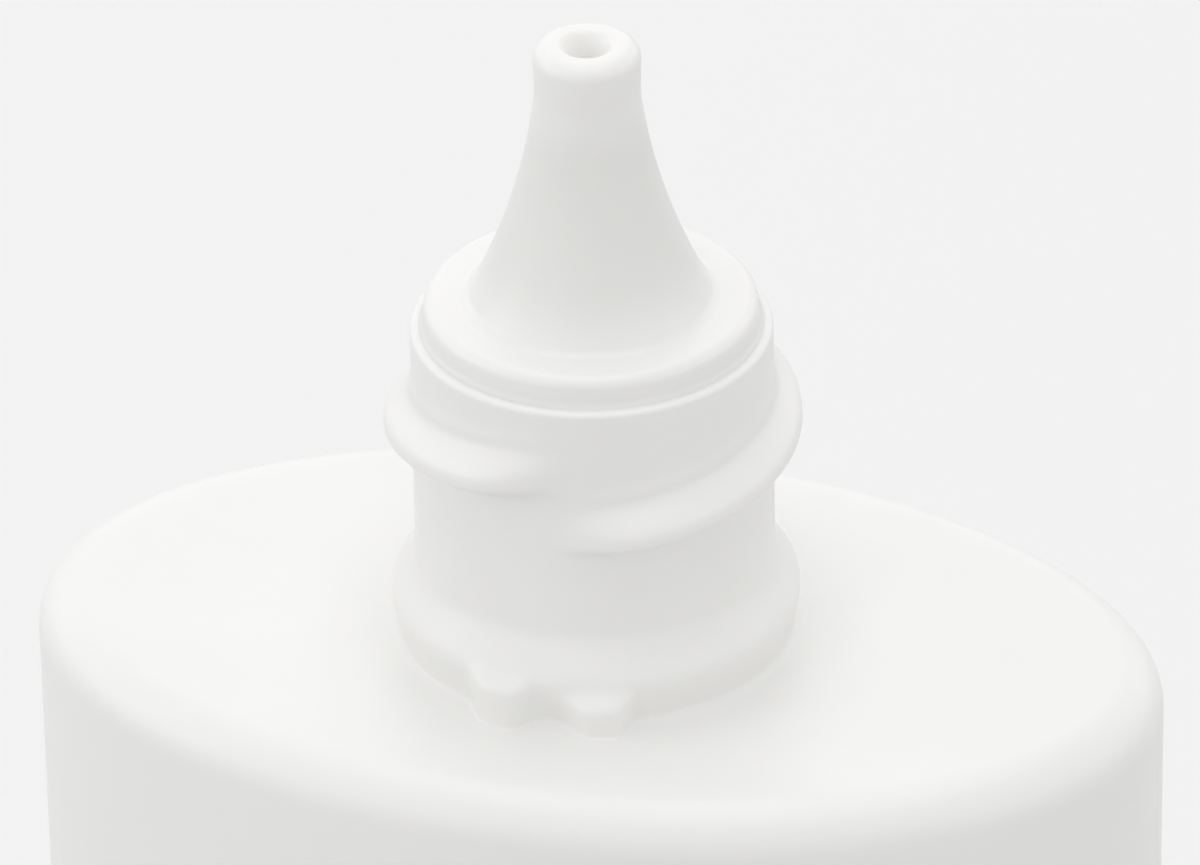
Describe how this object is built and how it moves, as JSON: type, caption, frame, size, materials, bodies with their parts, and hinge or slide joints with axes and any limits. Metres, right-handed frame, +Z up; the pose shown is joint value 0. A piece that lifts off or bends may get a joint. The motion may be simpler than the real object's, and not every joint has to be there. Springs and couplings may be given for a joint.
{
  "type": "contact lens solution bottle",
  "caption": "Oval white squeeze bottle with a flared dropper nozzle pressed into a threaded neck, and its ribbed screw cap standing beside it.",
  "frame": {"origin": "middle of the bottle's base, on the plane that it stands on", "axes": "+Z up along the neck axis, X along the long axis of the oval body, front at -Y"},
  "size_m": [0.111, 0.041, 0.1732],
  "materials": {
    "bottle_plastic": "satin moulded white polyethylene",
    "nozzle_plastic": "satin white soft polyethylene",
    "cap_plastic": "satin white polypropylene with ribs"
  },
  "bodies": {
    "bottle": {"bottle": "bottle_plastic", "dropper_nozzle": "nozzle_plastic"},
    "cap": {"screw_cap": "cap_plastic"}
  },
  "joints": [
    {"name": "cap_lift", "type": "slide", "parent": "bottle", "child": "cap", "axis": [0, 0, 1], "range_m": [0, 0.19]}
  ]
}
